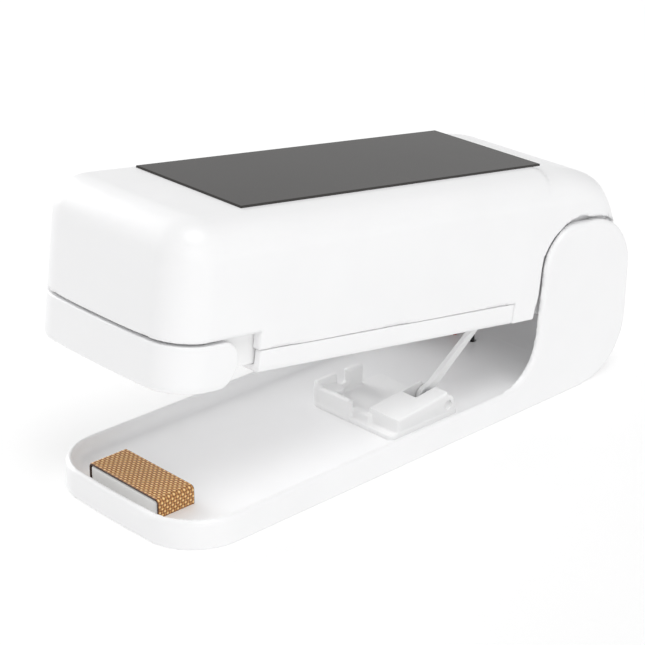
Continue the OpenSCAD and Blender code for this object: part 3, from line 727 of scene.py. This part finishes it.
def make_opener_arm():
    low, high = extent("opener_arm", ARM)
    hub_r, tip_r = -low[1], 0.9
    bar_root_r, bar_tip_r = 0.95, 0.7
    tip = high[1] - tip_r

    def shape(x, y, z):
        bar = belt(y, z, (0, 0), bar_root_r, (tip, 0), bar_tip_r)
        outline = either(bar, np.minimum(disc(y, z, (0, 0), hub_r), disc(y, z, (tip, 0), tip_r)), 1.0)
        plate = both(outline, slab(x, low[0], high[0]), 0.28)
        return without(plate, disc(y, z, (0, 0), arm_pin_hole_r), bore_edge)

    piece = solid("opener_arm_look", shape, low, high, step=0.15, at=ARM)
    dress(piece, white_inner, "arm", "white_inner", "opener_arm")


# ============================ upper jaw =====================================

shell_low, shell_high = extent("upper_shell", JAW)
top_rise = 0.05
jaw_hw, nose_u, top_w = shell_high[0], shell_low[1], shell_high[2] + top_rise
head_low, head_high = extent("press_head", JAW)
cover_low, cover_high = extent("battery_cover", SEAM)
panel_low, panel_high = extent("top_panel", JAW)
ear_gap = 0.4
narrow_hw = half_w - ear_wall - ear_gap  # the jaw between the ears
nose_corner = 7.5
top_round = 6.6                         # along the top's edges
rear_round = 5.0                        # between the top and the rear arc
shell_wall = 1.8
shell_edge = 0.4
cover_gap, head_gap = 0.1, 0.6          # the open seams over the cover and over the press head
seam_w = cover_high[2] + cover_gap      # seam plane in the SEAM frame
head_seam = head_high[2] + head_gap
cover_length = 65.5
seam_length = cover_length + cover_gap  # the shell's step stands this far behind the cover's front
REAR_ARC = ((-8.5, 4.0), 22.1)          # the rear's outline: discs at (u, w), with their radii
DRUM = ((0.0, 0.0), 14.0)
skirt_inset = (2.25, 1.15)              # from the plan, behind the press head and over its seam
skirt_inner = 3.1
skirt_step = (0.5, 1.5)                 # heights over the seam between which it steps outwards
skirt_drop = 1.6                        # below the head's seam
skirt_short = 6                         # it ends this far before the head's rear
skirt_top = 9.0
rear_floor_t = 1.2
boss_r = 2.4
pin_bore_r = 2.4
recess_inset = 0.7                      # of the panel's recess from the panel's outline
recess_corner = 1.0
recess_depth = 0.8
LEAD_HOLE = ((-11, -9), (-2, 1))        # (x, u) corners of the hole where the leads come in
lead_hole_corner = 0.8
lead_hole_h = 3
seam_turn = seam_tilt - jaw_tilt


def seam_height(u, w):
    """Height of a jaw-frame point over the seam plane."""
    return w * math.cos(seam_turn) + u * math.sin(seam_turn) - seam_w


def cover_station(v):
    """u in the jaw frame of a point on the seam plane at v in the SEAM frame."""
    return v * math.cos(seam_turn) + seam_w * math.sin(seam_turn)


cover_front = cover_station(cover_low[1])
cover_rear = cover_station(cover_low[1] + seam_length)
relief_gap = 0.65                       # between the swept ear and the jaw
beyond_rear = 60                        # u that lies behind the whole jaw
sweep_steps = 7
closing = math.radians(joint("jaw_hinge")["range_deg"][1])


def swept_ear(u, w):
    """Outline of the ear as the jaw sees it over its whole travel."""
    d = None
    for part in np.linspace(0, 1, sweep_steps):
        a = jaw_tilt - part * closing
        y, z = u * math.cos(a) + w * math.sin(a), w * math.cos(a) - u * math.sin(a)
        d = ear_outline(y, z) if d is None else np.minimum(d, ear_outline(y, z))
    return d


def jaw_plan(x, u, skin=0.0):
    """Plan of the jaw's nose, inset by a skin."""
    bowed = u - nose_bow * (x / jaw_hw) ** 2
    low, high = (skin - jaw_hw, nose_u + skin), (jaw_hw - skin, beyond_rear)
    return rect(x, bowed, low, high, nose_corner - skin)


def jaw_body(x, u, w):
    plan = jaw_plan(x, u)
    back = np.minimum(u - REAR_ARC[0][0], np.minimum(disc(u, w, *REAR_ARC), disc(u, w, *DRUM)))
    return both(plan, both(w - top_w, back, rear_round), top_round)


def shell_hull(x, u, w, body):
    """The jaw's shell without its details: open below, hollow inside."""
    below = np.maximum(u - (cover_front - shell_edge), w - head_seam)
    below = np.minimum(below, np.maximum(u - cover_rear, seam_height(u, w)))
    below = np.minimum(below, w - shell_low[2])
    shell = without(body, below, shell_edge)
    between_ears = np.abs(x) - (narrow_hw - shell_wall)
    inside = np.minimum(u - (cover_rear + shell_wall),
                        np.maximum(between_ears, shell_low[2] + rear_floor_t - w))
    return without(shell, np.maximum(body + shell_wall, inside), shell_edge)


def head_skirt(x, u, w):
    """A wall behind the press head, so that its seam shows no light from inside."""
    lower, upper = skirt_inset
    step = step_up(w, head_seam + skirt_step[0], head_seam + skirt_step[1])
    outer = lower - (lower - upper) * step
    skirt = slab(-jaw_plan(x, u), outer, skirt_inner)
    skirt = np.maximum(skirt, np.maximum(head_seam - skirt_drop - w, w - skirt_top))
    return np.maximum(skirt, u - (head_high[1] - skirt_short))


def shell_shape(x, u, w):
    body = jaw_body(x, u, w)
    shell = np.minimum(shell_hull(x, u, w, body), head_skirt(x, u, w))
    roof = extent("battery_frame", JAW)[1][2]
    for p in boss_places():
        boss = np.maximum(disc(x, u, p, boss_r), roof - w)
        shell = np.minimum(shell, np.maximum(boss, body + shell_wall / 2))
    relief = np.maximum(narrow_hw - np.abs(x), swept_ear(u, w) - relief_gap)
    shell = without(shell, relief, shell_edge)
    recess = rect(x, u, panel_low[:2] + recess_inset, panel_high[:2] - recess_inset, recess_corner)
    shell = without(shell, np.maximum(recess, top_w - recess_depth - w), hidden_edge)
    shell = without(shell, disc(u, w, (0, 0), pin_bore_r), hidden_edge)
    hole = rect(x, u, *LEAD_HOLE, lead_hole_corner)
    return without(shell, np.maximum(hole, w - (shell_low[2] + lead_hole_h)), hidden_edge)


def boss_places():
    """(x, u) of the frame's screws, from the middles of the screws' points."""
    p = JAW.to_local(node_points("frame_screws"))
    middle = (p.min(0) + p.max(0)) / 2
    return [p[((p[:, 0] > middle[0]) == a) & ((p[:, 1] > middle[1]) == b)].mean(0)[:2]
            for a in (False, True) for b in (False, True)]


def make_upper_shell():
    piece = solid("upper_shell_look", shell_shape, shell_low, shell_high, step=0.55, at=JAW)
    dress(piece, white_shell, "jaw", "white_shell", "upper_shell")


def make_top_panel():
    """Sharp-edged plate that stands a little proud, on a narrower back in the recess."""
    bevel, inset, back_depth, sunk = 0.12, 0.9, 0.7, 0.03
    top = panel_high[2]

    def ring(w, d):
        (x0, u0), (x1, u1) = panel_low[:2] + d, panel_high[:2] - d
        return [(x0, u0, w), (x1, u0, w), (x1, u1, w), (x0, u1, w)]

    under = top_w - sunk
    piece = lofted("top_panel_look", [
        ring(top_w - back_depth, inset), ring(under, inset), ring(under, 0),
        ring(top - bevel, 0), ring(top - bevel * 0.35, bevel * 0.3), ring(top, bevel)], JAW)
    piece.data.polygons.foreach_set("use_smooth", [False] * len(piece.data.polygons))
    dress(piece, dark_panel, "jaw", "dark_panel", "top_panel")


def make_press_head():
    rear, bottom, top = head_high[1], head_low[2], head_high[2]
    skin, floor = 1.6, 1.5
    tongue_top_r, tongue_bottom_r = 3.4, 5.2
    lower_edge = 1.5
    post_r, post_top = 1.8, 3.0
    socket_r, socket_depth = 1.3, 0.5
    pad_gap, open_rear = 0.05, 0.6
    pad_low, pad_high = extent("pressure_pad", JAW)
    button = extent("switch_button", JAW)
    post = (button[0] + button[1]) / 2
    pivot = JAW.to_local(joint_place("head_pivot")[None])[0]

    def shape(x, u, w):
        plan = jaw_plan(x, u)
        profile = np.maximum(both(u - rear, w - top, tongue_top_r),
                             both(u - rear, bottom - w, tongue_bottom_r))
        body = both(plan, profile, 0.5)
        body = np.maximum(body, both(plan, bottom - w, lower_edge))
        inner = jaw_plan(x, u, skin)
        hollow = both(inner, bottom + floor - w, 0.8)
        hollow = np.minimum(hollow, np.maximum(np.abs(x) - (jaw_hw - skin), rear - open_rear - u))
        body = without(body, hollow, 0.3)
        stem = both(disc(x, u, post[:2], post_r), w - post_top, 0.3)
        body = either(body, np.maximum(stem, bottom + 0.5 - w), 0.4)
        seat = rect(x, u, pad_low[:2] - pad_gap, pad_high[:2] + pad_gap)
        body = without(body, np.maximum(seat, w - pad_high[2]), bore_edge)
        socket = np.maximum(disc(u, w, pivot[1:], socket_r), np.abs(x) - (jaw_hw - socket_depth))
        return without(body, socket, bore_edge)

    piece = solid("press_head_look", shape, head_low, head_high, step=0.28, at=JAW)
    dress(piece, white_shell, "head", "white_shell", "press_head")


def make_battery_cover():
    low, high = cover_low, cover_high
    skin, floor = 1.6, 1.2
    rear = low[1] + cover_length
    lower_edge = 1.3
    grooves, groove_pitch, groove_r, groove_half = 5, 1.7, 0.75, 8
    first_groove, groove_rise = 6, 0.35
    tab_places, tab_w, tab_overlap = (-13.0, 5.0), 8, 3
    root_bottom, tab_bottom, tab_top = low[2] + 0.6, low[2] + 1.8, low[2] + 2.9

    def shape(x, v, w):
        plan = rect(x, v, (-jaw_hw, low[1]), (jaw_hw, rear), 0.4)
        body = both(plan, slab(w, low[2], high[2]), 0.35)
        body = np.maximum(body, both(np.abs(x) - jaw_hw, low[2] - w, lower_edge))
        hollow = both(np.abs(x) - (jaw_hw - skin), low[2] + floor - w, 0.6)
        body = without(body, hollow, 0.3)
        for k in range(grooves):
            axis = (low[1] + first_groove + groove_pitch * k, low[2] - groove_rise)
            groove = np.maximum(disc(v, w, axis, groove_r), np.abs(x) - groove_half)
            body = without(body, groove, hidden_edge)
        for x0 in tab_places:
            x1, front = x0 + tab_w, rear - tab_overlap
            tab = block(x, v, w, (x0, front, tab_bottom), (x1, high[1], tab_top), 0.25)
            root = block(x, v, w, (x0, front, root_bottom), (x1, rear - 0.1, tab_top), 0.25)
            body = np.minimum(body, np.minimum(tab, root))
        return body

    piece = solid("battery_cover_look", shape, low, high, step=0.4, at=SEAM)
    dress(piece, white_shell, "cover", "white_shell", "battery_cover")


# ============================ stage =========================================

# the camera that was fitted to the photograph: degrees, metres, millimetres of lens
camera_azimuth, camera_elevation = 46.75, 23.87
camera_distance = 0.37724
camera_target = (0.00002, -0.00752, 0.02275)
camera_lens, camera_sensor = 112, 36
floor_size = 6
floor_grey, floor_glow = 0.62, 0.41
world_strength = 0.5
light_distance = 1.2


def make_floor():
    bpy.ops.mesh.primitive_plane_add(size=floor_size)
    floor = bpy.context.object
    floor.name = "floor"
    material = bpy.data.materials.new("floor")
    material.use_nodes = True
    tree = material.node_tree
    tree.nodes.clear()
    output = tree.nodes.new("ShaderNodeOutputMaterial")
    mix = tree.nodes.new("ShaderNodeAddShader")
    diffuse = tree.nodes.new("ShaderNodeBsdfDiffuse")
    glow = tree.nodes.new("ShaderNodeEmission")
    diffuse.inputs["Color"].default_value = (floor_grey, floor_grey, floor_grey, 1)
    glow.inputs["Strength"].default_value = floor_glow
    tree.links.new(diffuse.outputs[0], mix.inputs[0])
    tree.links.new(glow.outputs[0], mix.inputs[1])
    tree.links.new(mix.outputs[0], output.inputs["Surface"])
    floor.data.materials.append(material)


def direction(azimuth, elevation):
    """Unit vector from the object towards a viewer or light."""
    a, e = math.radians(azimuth), math.radians(elevation)
    return Vector((math.sin(a) * math.cos(e), -math.cos(a) * math.cos(e), math.sin(e)))


def make_camera():
    camera = bpy.data.objects.new("camera", bpy.data.cameras.new("camera"))
    bpy.context.scene.collection.objects.link(camera)
    camera.data.lens = camera_lens
    camera.data.sensor_width = camera_sensor
    camera.data.clip_start = 0.01
    back = direction(camera_azimuth, camera_elevation)
    camera.location = Vector(camera_target) + camera_distance * back
    camera.rotation_euler = back.to_track_quat("Z", "Y").to_euler()
    bpy.context.scene.camera = camera


def area_light(name, azimuth, elevation, size, watts):
    light = bpy.data.objects.new(name, bpy.data.lights.new(name, "AREA"))
    light.data.energy = watts
    light.data.shape = "DISK"
    light.data.size = size
    toward = direction(azimuth, elevation)
    light.location = toward * light_distance
    light.rotation_euler = toward.to_track_quat("Z", "Y").to_euler()
    bpy.context.scene.collection.objects.link(light)


def make_lights():
    world = bpy.data.worlds.new("studio")
    bpy.context.scene.world = world
    world.use_nodes = True
    background = world.node_tree.nodes["Background"]
    background.inputs["Color"].default_value = (1, 1, 1, 1)
    background.inputs["Strength"].default_value = world_strength
    area_light("key", azimuth=62, elevation=16, size=0.7, watts=1.8)
    area_light("overhead", azimuth=80, elevation=66, size=0.7, watts=5.4)
    area_light("nose_fill", azimuth=2, elevation=13, size=0.7, watts=0.3)
    area_light("far_fill", azimuth=-84, elevation=22, size=0.8, watts=7.5)
    bpy.context.scene.view_settings.view_transform = "Standard"


make_camera()
make_floor()
make_lights()
finish_cad_nodes()
make_base()
make_strip_core()
make_cloth()
make_arm_bracket()
make_opener_arm()
make_upper_shell()
make_top_panel()
make_press_head()
make_battery_cover()
